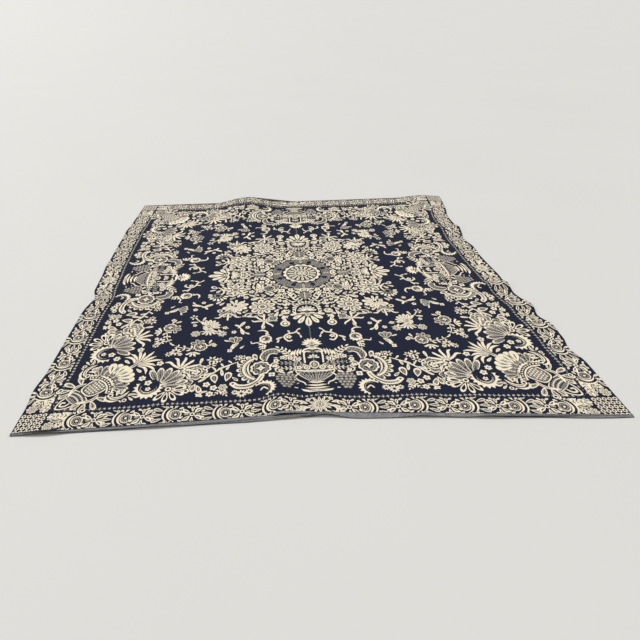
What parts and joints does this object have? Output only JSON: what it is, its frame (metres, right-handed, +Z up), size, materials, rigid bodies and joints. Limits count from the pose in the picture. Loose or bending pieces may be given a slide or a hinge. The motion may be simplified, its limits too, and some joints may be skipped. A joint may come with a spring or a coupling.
{
  "type": "jacquard coverlet",
  "caption": "Woven floral bed coverlet in navy and cream, laid out nearly flat, with a seam down its middle, rolled end hems, a hump at the far hem and ripples along the edges.",
  "frame": {"origin": "middle of the laid cloth's outline, on the ground under it", "axes": "+Z up, +Y from the near hem to the far hem, +X to the right along the near hem"},
  "size_m": [2.232, 2.0965, 0.0444],
  "materials": {
    "panel_left": "matt navy wool and cream cotton double cloth",
    "panel_right": "matt navy wool and cream cotton double cloth"
  },
  "bodies": {
    "root": {"panel_left": "panel_left", "panel_right": "panel_right"}
  },
  "joints": []
}
